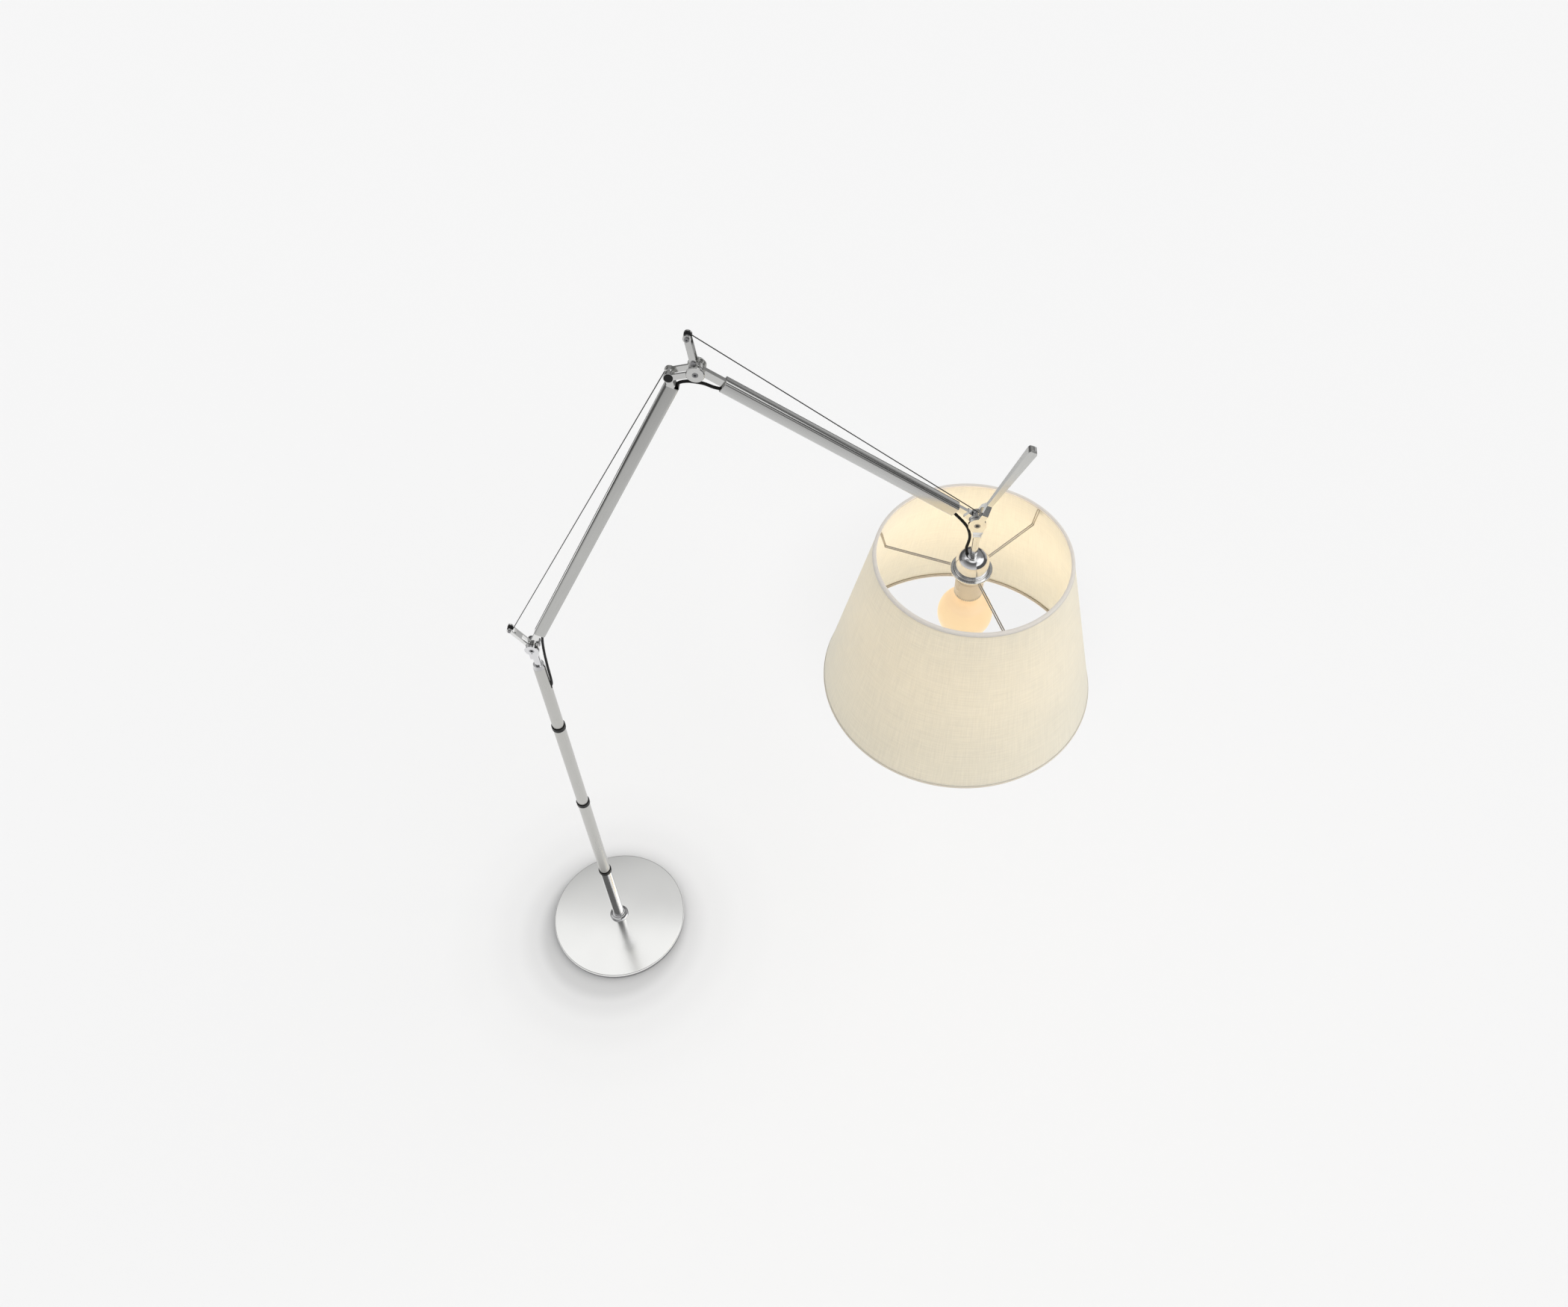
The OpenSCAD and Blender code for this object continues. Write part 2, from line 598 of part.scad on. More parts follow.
module bulb_globe() color("wheat") on_lamp_axis() difference() {
    union() {
        translate([0, 0, bulb_z]) sphere(d = bulb_d, $fn = 96);
        translate([0, 0, bulb_z + 30]) cylinder(r1 = 24, r2 = 16, h = 8);
        translate([0, 0, bulb_z + 38]) cylinder(r = 16, h = 13.3);
    }
    translate([0, 0, bulb_z]) sphere(d = bulb_d - 2.4, $fn = 96);
    translate([0, 0, bulb_z + 28]) cylinder(r = 14.6, h = 22);
}

module shade_rings() color("white") on_lamp_axis() {
    ring(shade_top_d / 2 - rim_inset, ring_d, shade_z[1] - 2.2);
    ring(shade_bottom_d / 2 - rim_inset - 0.8, ring_d, shade_z[0] + 2.2);
}

module shade_fabric() color("linen") on_lamp_axis() rotate_extrude($fn = 96) polygon([
    [shade_top_d / 2 - 0.9, shade_z[1]], [shade_top_d / 2, shade_z[1]],
    [shade_bottom_d / 2, shade_z[0]], [shade_bottom_d / 2 - 0.9, shade_z[0]]]);

slope = (shade_bottom_d - shade_top_d) / 2 / shade_h;

// A tape folded over each rim
module shade_bindings() color("lightgray") on_lamp_axis() {
    rotate_extrude($fn = 96) {
        r = shade_top_d / 2;
        z = shade_z[1];
        polygon([[r + 0.05, z], [r + 0.05 + 8 * slope, z - 8], [r + 0.8 + 8 * slope, z - 8],
                 [r + 0.8, z + 0.8], [r - 4.8, z + 0.8], [r - 4.8, z - 4.5], [r - 4.3, z - 4.5], [r - 4.3, z]]);
    }
    rotate_extrude($fn = 96) {
        r = shade_bottom_d / 2;
        z = shade_z[0];
        polygon([[r + 0.05, z], [r + 0.05 - 5 * slope, z + 5], [r + 0.7 - 5 * slope, z + 5],
                 [r + 0.7, z - 0.7], [r - 5.6, z - 0.7], [r - 5.6, z + 4.5], [r - 5.1, z + 4.5], [r - 5.1, z]]);
    }
}

base_pad();
base_weight();
base_cover();
base_hub();
foot_plug();
base_bolt();
cord_inlet();
pole_tube_4();
collar_3();
pole_lead_coil();
pole_tube_3();
collar_2();
pole_tube_2();
collar_1();
pole_tube_1();
pole_ferrule();
swivel_fork();
lower_lever();
lower_lever_roller();
shoulder_screws();
shoulder_axle();
shoulder_washers();
shoulder_knob();
lead_neck();
shoulder_knuckle();
arm1_tube();
arm1_spring();
arm1_lead();
arm1_wire();
elbow_bracket();
elbow_lever();
elbow_lever_roller();
elbow_screws();
elbow_axle();
elbow_washers();
elbow_discs();
pulley_pin();
lead_shoulder();
arm1_pulley();
elbow_knuckle();
arm2_tube();
arm2_spring();
arm2_lead();
arm2_wire();
arm2_tongue();
lead_elbow();
arm2_pulley();
head_yoke();
aim_handle();
head_axle();
lead_head();
lamp_cap();
shade_flange();
spider();
lamp_holder();
bulb_cap();
bulb_globe();
shade_rings();
shade_fabric();
shade_bindings();
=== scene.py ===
import json
import math

import bpy
from mathutils import Matrix, Vector
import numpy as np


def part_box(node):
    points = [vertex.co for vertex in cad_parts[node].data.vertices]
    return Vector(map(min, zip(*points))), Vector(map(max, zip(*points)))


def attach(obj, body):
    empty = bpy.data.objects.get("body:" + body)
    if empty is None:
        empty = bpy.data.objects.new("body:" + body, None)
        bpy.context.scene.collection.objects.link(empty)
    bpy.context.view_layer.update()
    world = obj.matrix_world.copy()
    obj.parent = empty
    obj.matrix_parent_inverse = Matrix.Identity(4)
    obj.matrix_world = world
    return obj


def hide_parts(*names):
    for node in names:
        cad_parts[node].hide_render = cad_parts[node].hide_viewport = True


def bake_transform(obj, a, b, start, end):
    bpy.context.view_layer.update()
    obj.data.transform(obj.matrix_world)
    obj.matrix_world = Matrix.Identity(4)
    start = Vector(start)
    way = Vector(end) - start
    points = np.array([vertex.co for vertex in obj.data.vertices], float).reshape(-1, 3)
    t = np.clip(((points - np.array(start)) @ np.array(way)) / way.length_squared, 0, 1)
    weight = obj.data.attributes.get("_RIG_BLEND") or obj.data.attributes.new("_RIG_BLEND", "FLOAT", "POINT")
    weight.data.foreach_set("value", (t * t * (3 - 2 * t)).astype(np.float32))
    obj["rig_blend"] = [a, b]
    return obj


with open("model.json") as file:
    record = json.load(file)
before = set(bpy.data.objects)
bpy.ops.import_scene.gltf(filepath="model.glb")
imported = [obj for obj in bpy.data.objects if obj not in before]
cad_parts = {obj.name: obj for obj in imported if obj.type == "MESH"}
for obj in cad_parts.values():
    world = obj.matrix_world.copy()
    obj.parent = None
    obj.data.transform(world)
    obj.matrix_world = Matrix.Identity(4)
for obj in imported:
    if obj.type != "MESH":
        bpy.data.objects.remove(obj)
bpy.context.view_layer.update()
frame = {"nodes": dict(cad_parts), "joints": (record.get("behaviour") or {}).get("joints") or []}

JOINTS = {joint["name"]: joint for joint in frame["joints"]}
NODES = frame["nodes"]
SHOULDER = Vector(JOINTS["shoulder"]["pos_m"])
ELBOW = Vector(JOINTS["elbow"]["pos_m"])
HEAD = Vector(JOINTS["head_tilt"]["pos_m"])
ARM1_ANGLE = math.radians(63.0)      # slope of the lower arm's tube above the horizontal
ARM2_ANGLE = math.radians(-34.2)     # slope of the upper arm
MM = 0.001


def corner(node):
    """Lowest and highest corners of a CAD node, and its middle."""
    low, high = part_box(node)
    return low, high, (low + high) / 2


def along(pivot, angle, x, z):
    """The point x along and z across an arm, in mm from a pivot, in the plane y = 0."""
    return pivot + MM * Vector((x * math.cos(angle) - z * math.sin(angle), 0,
                                x * math.sin(angle) + z * math.cos(angle)))


# ---- camera, light and stage ---------------------------------------------------------

CAMERA_PLACE = Vector((0.5283, -1.1216, 2.5906))
CAMERA_YAW = math.radians(96.05)
CAMERA_PITCH = math.radians(53.51)
CAMERA_ROLL = math.radians(-2.34)
CAMERA_LENS_MM = 27.295


def make_camera():
    forward = Vector((math.cos(CAMERA_YAW) * math.cos(CAMERA_PITCH),
                      math.sin(CAMERA_YAW) * math.cos(CAMERA_PITCH),
                      -math.sin(CAMERA_PITCH)))
    right = forward.cross(Vector((0, 0, 1))).normalized()
    up = right.cross(forward)
    c, s = math.cos(CAMERA_ROLL), math.sin(CAMERA_ROLL)
    right, up = right * c + up * s, up * c - right * s
    data = bpy.data.cameras.new("camera")
    data.lens = CAMERA_LENS_MM
    data.sensor_width = 36
    data.clip_start = 0.05
    data.clip_end = 100
    camera = bpy.data.objects.new("camera", data)
    turn = Matrix((right, up, -forward)).transposed()
    camera.matrix_world = Matrix.Translation(CAMERA_PLACE) @ turn.to_4x4()
    bpy.context.scene.collection.objects.link(camera)
    bpy.context.scene.camera = camera


# ---- node helpers --------------------------------------------------------------------


class Tree:
    """Short calls for building one material's nodes."""

    def __init__(self, name, world=False):
        holder = bpy.data.worlds.new(name) if world else bpy.data.materials.new(name)
        holder.use_nodes = True
        self.holder = holder
        self.tree = holder.node_tree
        self.tree.nodes.clear()

    def add(self, kind, **settings):
        node = self.tree.nodes.new("ShaderNode" + kind)
        for key, value in settings.items():
            setattr(node, key, value)
        return node

    def join(self, source, target):
        self.tree.links.new(source, target)

    def feed(self, socket, value):
        """Sets a socket, or links it where the value is another socket."""
        if isinstance(value, bpy.types.NodeSocket):
            self.join(value, socket)
        else:
            socket.default_value = value

    def maths(self, operation, *values):
        node = self.add("Math", operation=operation)
        for socket, value in zip(node.inputs, values):
            self.feed(socket, value)
        return node.outputs[0]

    def ramp(self, value, stops, interpolation="LINEAR"):
        node = self.add("ValToRGB")
        node.color_ramp.interpolation = interpolation
        points = node.color_ramp.elements
        while len(points) < len(stops):
            points.new(0.5)
        for point, (place, colour) in zip(points, stops):
            point.position = place
            point.color = (*grey(colour), 1)
        self.feed(node.inputs["Fac"], value)
        return node.outputs["Color"]

    def mix(self, factor, a, b, blend="MIX"):
        node = self.add("Mix", data_type="RGBA", blend_type=blend)
        self.feed(node.inputs["Factor"], factor)
        for socket, value in ((node.inputs[6], a), (node.inputs[7], b)):
            self.feed(socket, value if isinstance(value, bpy.types.NodeSocket) else (*grey(value), 1))
        return node.outputs[2]

    def place(self, scale=(1, 1, 1), turn=(0, 0, 0), shift=(0, 0, 0), uv=None):
        """Object coordinates in metres, or a UV map, turned and then scaled."""
        if uv:
            start = self.add("UVMap", uv_map=uv).outputs["UV"]
        else:
            start = self.add("TexCoord").outputs["Object"]
        moved = self.add("Mapping", vector_type="TEXTURE")
        moved.inputs["Location"].default_value = shift
        moved.inputs["Rotation"].default_value = turn
        self.join(start, moved.inputs["Vector"])
        scaled = self.add("VectorMath", operation="MULTIPLY")
        self.join(moved.outputs[0], scaled.inputs[0])
        scaled.inputs[1].default_value = scale
        return scaled.outputs[0]

    def noise(self, vector, scale=1.0, detail=3.0, rough=0.5):
        node = self.add("TexNoise")
        self.join(vector, node.inputs["Vector"])
        node.inputs["Scale"].default_value = scale
        node.inputs["Detail"].default_value = detail
        node.inputs["Roughness"].default_value = rough
        return node.outputs["Fac"]

    def between(self, value, low, high, out_low, out_high):
        node = self.add("MapRange")
        for socket, number in zip(node.inputs, (value, low, high, out_low, out_high)):
            self.feed(socket, number)
        return node.outputs[0]

    def bump(self, height, distance, strength=1.0, below=None):
        node = self.add("Bump")
        node.inputs["Strength"].default_value = strength
        node.inputs["Distance"].default_value = distance
        self.join(height, node.inputs["Height"])
        if below:
            self.join(below, node.inputs["Normal"])
        return node.outputs["Normal"]

    def surface(self, **values):
        shader = self.add("BsdfPrincipled")
        for key, value in values.items():
            name = key.replace("_", " ").title().replace("Ior", "IOR")
            if isinstance(value, tuple) and len(value) == 3 and "Color" in name or name == "Sheen Tint":
                value = (*value, 1)
            self.feed(shader.inputs[name], value)
        return shader.outputs[0]

    def finish(self, shader):
        output = self.add("OutputMaterial")
        self.join(shader, output.inputs["Surface"])
        return self.holder


def grey(colour):
    return (colour,) * 3 if isinstance(colour, (int, float)) else tuple(colour)[:3]


# ---- world and stage -----------------------------------------------------------------

STUDIO_LIGHT = 0.87         # the even light that falls on everything
BACKDROP = 0.92             # the wall behind the floor's far edge
SUN_STRENGTH = 1.05
SUN_FROM = Vector((0.9, -0.2, 0.85))
SUN_SPREAD = math.radians(70)
FLOOR_COLOUR = (0.845, 0.845, 0.845)
FLOOR_SIZE = 60.0

# Brightness by direction of the room that polished metal mirrors. The place in each list is a
# direction's part upwards, or away from the camera for the ceiling.
FAR_WALL = [(0.0, 0.3), (0.2, 0.13), (0.42, 0.13), (0.6, 0.38), (0.76, 0.42), (0.84, 1.0), (1.0, 1.0)]
CEILING = [(0.365, 1.0), (0.40, 0.70), (0.46, 0.66)]
CAMERA_SIDE = [(0.0, 0.8), (0.3, 0.6), (0.6, 0.3), (0.85, 0.12), (0.94, 0.16), (0.98, 1.0)]
RIGHT_WALL = [(0.0, 0.6), (0.2, 0.4), (0.36, 0.22), (0.48, 0.1)]
RIGHT_WALL_DARK = 0.1
HIGH_LAMP = 0.95

# The floor: painted shadows round the base and under the lamp's shade, and the floor that metal mirrors:
# brightness by distance from the middle of each patch, in metres times 2, 1 and 0.1.
# Painted shadow round the base: its middle, which the mirrored floor's distance is also taken from, and its
# brightness by distance.
BASE_SHADOW_MIDDLE = (-0.012, -0.03, 0)
BASE_PAINTED_SHADOW = [(0.0, 0.68), (0.3, 0.72), (0.36, 0.86), (0.46, 0.945), (0.62, 0.985), (0.8, 1.0)]
# Painted shadow under the lamp's shade: its middle and its brightness by distance.
LAMP_SHADOW_MIDDLE = (0.75, 0.97, 0)
LAMP_PAINTED_SHADOW = [(0.0, 0.945), (0.2, 0.955), (0.55, 1.0)]
MIRRORED_FLOOR = [(0.0, 0.9), (0.12, 0.86), (0.22, 0.5), (0.3, 0.1), (0.5, 0.12), (0.8, 0.5)]
DARK_SPOT = (-0.45, 1.4, 0)


def room_in_metal(t, right, away, height):
    """Above the floor: far wall and ceiling, dim camera side, right wall, and a lamp high on the right."""
    side = t.maths("ADD", away, t.maths("MULTIPLY", right, 0.14))
    far = t.between(side, -0.1, 0.02, 0.0, 1.0)
    behind = t.mix(1.0, t.ramp(height, FAR_WALL), t.ramp(away, CEILING), "MULTIPLY")
    room = t.mix(far, t.ramp(height, CAMERA_SIDE), behind)
    wall = t.mix(t.between(away, 0.35, 0.5, 0.0, 1.0), RIGHT_WALL_DARK, t.ramp(height, RIGHT_WALL))
    on_right = t.between(right, 0.36, 0.44, 0.0, 1.0)
    low = t.between(height, 0.54, 0.58, 1.0, 0.0)
    room = t.mix(t.maths("MULTIPLY", on_right, low), room, wall)
    high = t.between(height, 0.54, 0.6, 0.0, HIGH_LAMP)
    lamp = t.maths("MULTIPLY", high, t.between(away, 0.25, 0.42, 1.0, 0.0))
    lamp = t.maths("MULTIPLY", lamp, t.between(right, 0.3, 0.4, 0.0, 1.0))
    return t.mix(1.0, room, lamp, "ADD")


def make_world():
    """An even white room and a plain backdrop, with light and dark walls for metal to mirror."""
    t = Tree("studio", world=True)
    parts = t.add("SeparateXYZ")
    t.join(t.add("TexCoord").outputs["Generated"], parts.inputs[0])
    mirrored = room_in_metal(t, *(parts.outputs[axis] for axis in "XYZ"))
    path = t.add("LightPath")
    even = t.mix(path.outputs["Is Glossy Ray"], STUDIO_LIGHT, mirrored)
    even = t.mix(path.outputs["Is Camera Ray"], even, BACKDROP)
    background = t.add("Background")
    t.join(even, background.inputs["Color"])
    output = t.add("OutputWorld")
    t.join(background.outputs[0], output.inputs["Surface"])
    bpy.context.scene.world = t.holder


def floor_distance(t, flat, place):
    """Distance over the floor from a place on it."""
    node = t.add("VectorMath", operation="DISTANCE")
    t.join(flat, node.inputs[0])
    node.inputs[1].default_value = place
    return node.outputs["Value"]


def floor_in_metal(t, spot, flat, from_base):
    """Bright near the lamp, dark further off, with a dark spot and a bright window that the arms mirror."""
    away = t.ramp(t.maths("DIVIDE", from_base, 10.0), MIRRORED_FLOOR)
    dark = t.between(floor_distance(t, flat, DARK_SPOT), 0.5, 0.65, 0.12, 1.0)
    away = t.mix(1.0, away, dark, "MULTIPLY")
    sides = t.add("SeparateXYZ")
    t.join(spot, sides.inputs[0])
    left_edge = t.between(sides.outputs["X"], -2.35, -2.2, 0.0, 1.0)
    right_edge = t.between(sides.outputs["X"], -1.25, -1.15, 1.0, 0.0)
    near_edge = t.between(sides.outputs["Y"], 0.85, 0.95, 0.0, 1.0)
    window = t.maths("MULTIPLY", t.maths("MULTIPLY", left_edge, right_edge), near_edge)
    bright = t.between(sides.outputs["Y"], 1.82, 1.95, 1.75, 0.75)
    return t.mix(window, away, bright)


def floor_material():
    """Pale floor with soft painted shadows round the base and under the lamp's shade."""
    t = Tree("floor")
    spot = t.add("TexCoord").outputs["Object"]
    level = t.add("VectorMath", operation="MULTIPLY")
    t.join(spot, level.inputs[0])
    level.inputs[1].default_value = (1, 1, 0)
    flat = level.outputs[0]
    from_base = floor_distance(t, flat, BASE_SHADOW_MIDDLE)
    # Painted shadow round the base and a fainter painted shadow under the lamp's shade, multiplied into the
    # floor's colour.
    near = t.ramp(t.maths("MULTIPLY", from_base, 2.0), BASE_PAINTED_SHADOW, "EASE")
    under = t.ramp(floor_distance(t, flat, LAMP_SHADOW_MIDDLE), LAMP_PAINTED_SHADOW, "EASE")
    colour = t.mix(1.0, FLOOR_COLOUR, t.mix(1.0, near, under, "MULTIPLY"), "MULTIPLY")
    diffuse = t.add("BsdfDiffuse")
    t.join(colour, diffuse.inputs["Color"])
    seen = t.add("Emission")
    t.join(floor_in_metal(t, spot, flat, from_base), seen.inputs["Color"])
    path = t.add("LightPath")
    pick = t.add("MixShader")
    t.join(path.outputs["Is Glossy Ray"], pick.inputs[0])
    t.join(diffuse.outputs[0], pick.inputs[1])
    t.join(seen.outputs[0], pick.inputs[2])
    return t.finish(pick.outputs[0])


def make_stage():
    bpy.ops.mesh.primitive_plane_add(size=FLOOR_SIZE)
    floor = bpy.context.object
    floor.name = "floor"
    floor.data.materials.append(floor_material())
    sun = bpy.data.lights.new("sun", "SUN")
    sun.energy = SUN_STRENGTH
    sun.angle = SUN_SPREAD
    lamp = bpy.data.objects.new("sun", sun)
    lamp.visible_glossy = False
    lamp.rotation_euler = SUN_FROM.to_track_quat("Z", "Y").to_euler()
    bpy.context.scene.collection.objects.link(lamp)


# ---- materials -----------------------------------------------------------------------


BRUSHING = 2500.0           # brush marks to the metre, across their run
BRUSHING_DEPTH = 0.00002


def crowned(t, crown):
    """Tilts the top and bottom of an arm tube as if they were slightly round: crown is per metre."""
    parts = t.add("SeparateXYZ")
    t.join(t.place(), parts.inputs[0])
    square = t.maths("MULTIPLY", parts.outputs["Y"], parts.outputs["Y"])
    return t.bump(t.maths("MULTIPLY", square, -crown), 1.0)


def metal(name, colour, roughness, turn=0.0, grain=0.04, wear=0.08, lengthwise=40.0, crown=None):
    """Metal with fine brushing that runs along local X, after a turn about Y."""
    t = Tree(name)
    streaks = t.noise(t.place((lengthwise, BRUSHING, BRUSHING), (0, turn, 0)), 1.0, 4.0, 0.6)
    clouds = t.noise(t.place((18, 18, 18)), 1.0, 3.0)
    tone = t.between(streaks, 0.3, 0.7, 1 - grain, 1 + grain)
    tone = t.maths("MULTIPLY", tone, t.between(clouds, 0.3, 0.7, 1 - grain / 2, 1 + grain / 2))
    shade = t.add("VectorMath", operation="SCALE")
    shade.inputs[0].default_value = grey(colour)
    t.join(tone, shade.inputs["Scale"])
    rough = t.between(t.maths("ADD", streaks, clouds), 0.6, 1.4,
                      roughness * (1 - wear * 2), roughness * (1 + wear * 2))
    below = crowned(t, crown) if crown else None
    return t.finish(t.surface(base_color=shade.outputs[0], metallic=1.0, roughness=rough,
                              normal=t.bump(streaks, BRUSHING_DEPTH, 0.6, below)))


def spun_metal(name, colour, roughness):
    """Metal turned on a lathe: brushing in rings about the pole."""
    t = Tree(name)
    parts = t.add("SeparateXYZ")
    t.join(t.place(), parts.inputs[0])
    x, y = parts.outputs["X"], parts.outputs["Y"]
    radius = t.maths("SQRT", t.maths("ADD", t.maths("POWER", x, 2.0), t.maths("POWER", y, 2.0)))
    ringed = t.add("CombineXYZ")
    t.join(t.maths("MULTIPLY", radius, 3000.0), ringed.inputs["X"])
    t.join(t.maths("MULTIPLY", t.maths("ARCTAN2", y, x), 0.8), ringed.inputs["Y"])
    rings = t.noise(ringed.outputs[0], 1.0, 3.0, 0.6)
    clouds = t.noise(t.place((9, 9, 9)), 1.0, 2.0)
    shade = t.add("VectorMath", operation="SCALE")
    shade.inputs[0].default_value = grey(colour)
    ringed_tone = t.between(rings, 0.3, 0.7, 0.985, 1.015)
    tone = t.maths("MULTIPLY", ringed_tone, t.between(clouds, 0.3, 0.7, 0.98, 1.02))
    t.join(tone, shade.inputs["Scale"])
    return t.finish(t.surface(base_color=shade.outputs[0], metallic=1.0,
                              roughness=t.between(rings, 0.3, 0.7, roughness * 0.9, roughness * 1.1),
                              normal=t.bump(rings, 0.00001, 0.4)))


FLECK = 0.06


def plastic(name, colour, roughness, scale=900.0, bump=0.00003, shine=0.5):
    """Moulded plastic or rubber: a fine even grain, and very slight clouds in its tone."""
    t = Tree(name)
    grain = t.noise(t.place((scale, scale, scale)), 1.0, 3.0)
    clouds = t.noise(t.place((25, 25, 25)), 1.0, 2.0)
    shade = t.add("VectorMath", operation="SCALE")
    shade.inputs[0].default_value = grey(colour)
    t.join(t.between(t.maths("ADD", grain, clouds), 0.7, 1.3, 1 - FLECK, 1 + FLECK), shade.inputs["Scale"])
    rough = t.between(grain, 0.3, 0.7, roughness * 0.85, roughness * 1.15)
    return t.finish(t.surface(base_color=shade.outputs[0], roughness=rough, specular_ior_level=shine,
                              normal=t.bump(grain, bump, 0.5)))


def cast_iron(name):
    """Dark grey metal with a coarse sand-cast skin."""
    t = Tree(name)
    lumps = t.noise(t.place((260, 260, 260)), 1.0, 6.0, 0.65)
    colour = t.ramp(lumps, [(0.3, (0.16, 0.16, 0.165)), (0.7, (0.27, 0.27, 0.275))])
    rough = t.between(lumps, 0.3, 0.7, 0.35, 0.6)
    return t.finish(t.surface(base_color=colour, metallic=0.6, roughness=rough,
                              normal=t.bump(lumps, 0.0003, 0.6)))


def twisted_wire(name):
    """Strands laid round the wire, on a tube whose map runs round and along it. The colour runs dark to light
    across each strand: painted shade between the strands, besides the bump.
    """
    t = Tree(name)
    stripes = t.add("TexWave", wave_type="BANDS", bands_direction="DIAGONAL")
    stripes.inputs["Scale"].default_value = 1.0
    stripes.inputs["Distortion"].default_value = 0.0
    t.join(t.place((1.0, 600.0, 0.0), uv="tube"), stripes.inputs["Vector"])
    lay = stripes.outputs["Fac"]
    # Dark to light across each strand: painted shade in the grooves between strands.
    colour = t.ramp(lay, [(0.0, 0.03), (0.5, 0.09), (1.0, 0.14)])
    return t.finish(t.surface(base_color=colour, metallic=1.0, roughness=0.32,
                              normal=t.bump(lay, 0.0001, 0.7)))


def ivory_barrel(name, colour, axis, low):
    """Glazed lamp holder with a ribbed grip round its lowest few millimetres, whose ribs are bumped and also
    painted darker in their grooves and lighter on their crests, as painted shade and light.
    """
    t = Tree(name)
    parts = t.add("SeparateXYZ")
    t.join(t.place(shift=axis), parts.inputs[0])
    turn = t.maths("ARCTAN2", parts.outputs["Y"], parts.outputs["X"])
    ribs = t.maths("SINE", t.maths("MULTIPLY", turn, 44.0))
    grip = t.between(parts.outputs["Z"], low + 0.0045, low + 0.005, 1.0, 0.0)
    depth = t.maths("MULTIPLY", ribs, grip)
    clouds = t.noise(t.place((40, 40, 40)), 1.0, 3.0)
    # Painted shade in the rib grooves and painted light on the crests, on top of the bump.
    ribbed = t.between(depth, -1.0, 1.0, 0.55, 1.45)
    tone = t.maths("MULTIPLY", t.between(clouds, 0.3, 0.7, 0.97, 1.03), ribbed)
    shade = t.add("VectorMath", operation="SCALE")
    shade.inputs[0].default_value = colour
    t.join(t.maths("MINIMUM", tone, 1.03), shade.inputs["Scale"])
    return t.finish(t.surface(base_color=shade.outputs[0], roughness=t.between(clouds, 0.3, 0.7, 0.26, 0.34),
                              normal=t.bump(depth, 0.0004, 0.8)))


CLOTH_THREADS = 1500.0      # threads to the metre
CLOTH = (0.868, 0.83, 0.722)
CLOTH_THROUGH = (1.0, 0.95, 0.83)        # tint of the light that comes through it
CLOTH_LETS_THROUGH = 0.36


def weave(t, threads, uv):
    """Plain weave height, with thick and thin stretches of yarn both ways."""
    at = t.place(uv=uv)
    parts = t.add("SeparateXYZ")
    t.join(at, parts.inputs[0])
    wobble = t.noise(t.place((35, 35, 1), uv=uv), 1.0, 2.0)
    across = t.maths("ADD", parts.outputs["X"], t.maths("MULTIPLY", wobble, 0.0012))
    down = t.maths("ADD", parts.outputs["Y"], t.maths("MULTIPLY", wobble, 0.0012))
    warp = t.maths("SINE", t.maths("MULTIPLY", across, threads * math.pi))
    weft = t.maths("SINE", t.maths("MULTIPLY", down, threads * math.pi))
    knit = t.maths("MULTIPLY", warp, weft)
    slub_across = t.noise(t.place((20, 520, 1), uv=uv), 1.0, 3.0, 0.6)
    slub_down = t.noise(t.place((520, 20, 1), uv=uv), 1.0, 3.0, 0.6)
    slubs = t.maths("ADD", slub_across, slub_down)
    return knit, slubs


def linen(name):
    """Cream linen on a thin liner: light comes through it, warmer than it falls on it."""
    t = Tree(name)
    knit, slubs = weave(t, CLOTH_THREADS, "cloth")
    patches = t.noise(t.place((11, 11, 1), uv="cloth"), 1.0, 3.0)
    tone = t.between(slubs, 0.75, 1.25, 0.935, 1.045)
    tone = t.maths("MULTIPLY", tone, t.between(knit, -1.0, 1.0, 0.975, 1.02))
    tone = t.maths("MULTIPLY", tone, t.between(patches, 0.3, 0.7, 0.985, 1.015))
    shade = t.add("VectorMath", operation="SCALE")
    shade.inputs[0].default_value = CLOTH
    t.join(tone, shade.inputs["Scale"])
    height = t.maths("ADD", t.maths("MULTIPLY", knit, 0.35), slubs)
    normal = t.bump(height, 0.00035, 0.55)
    front = t.surface(base_color=shade.outputs[0], roughness=0.85, specular_ior_level=0.2, sheen_weight=1.0,
                      sheen_roughness=0.6, sheen_tint=(0.9, 0.97, 1.0), normal=normal)
    through = t.add("BsdfTranslucent")
    warm = t.mix(1.0, shade.outputs[0], CLOTH_THROUGH, "MULTIPLY")
    t.join(warm, through.inputs["Color"])
    t.join(normal, through.inputs["Normal"])
    both = t.add("MixShader")
    both.inputs[0].default_value = CLOTH_LETS_THROUGH
    t.join(front, both.inputs[1])
    t.join(through.outputs[0], both.inputs[2])
    return t.finish(both.outputs[0])


def tape(name, colour):
    """Narrow woven tape with a ribbed face."""
    t = Tree(name)
    ribs = t.noise(t.place((120, 2600, 1), uv="tape"), 1.0, 3.0, 0.6)
    fibres = t.noise(t.place((1500, 1500, 1), uv="tape"), 1.0, 3.0)
    shade = t.add("VectorMath", operation="SCALE")
    shade.inputs[0].default_value = colour
    face = t.maths("ADD", ribs, fibres)
    t.join(t.between(face, 0.7, 1.3, 0.9, 1.08), shade.inputs["Scale"])
    return t.finish(t.surface(base_color=shade.outputs[0], roughness=0.9, sheen_weight=0.2,
                              specular_ior_level=0.2, normal=t.bump(face, 0.0002, 0.5)))


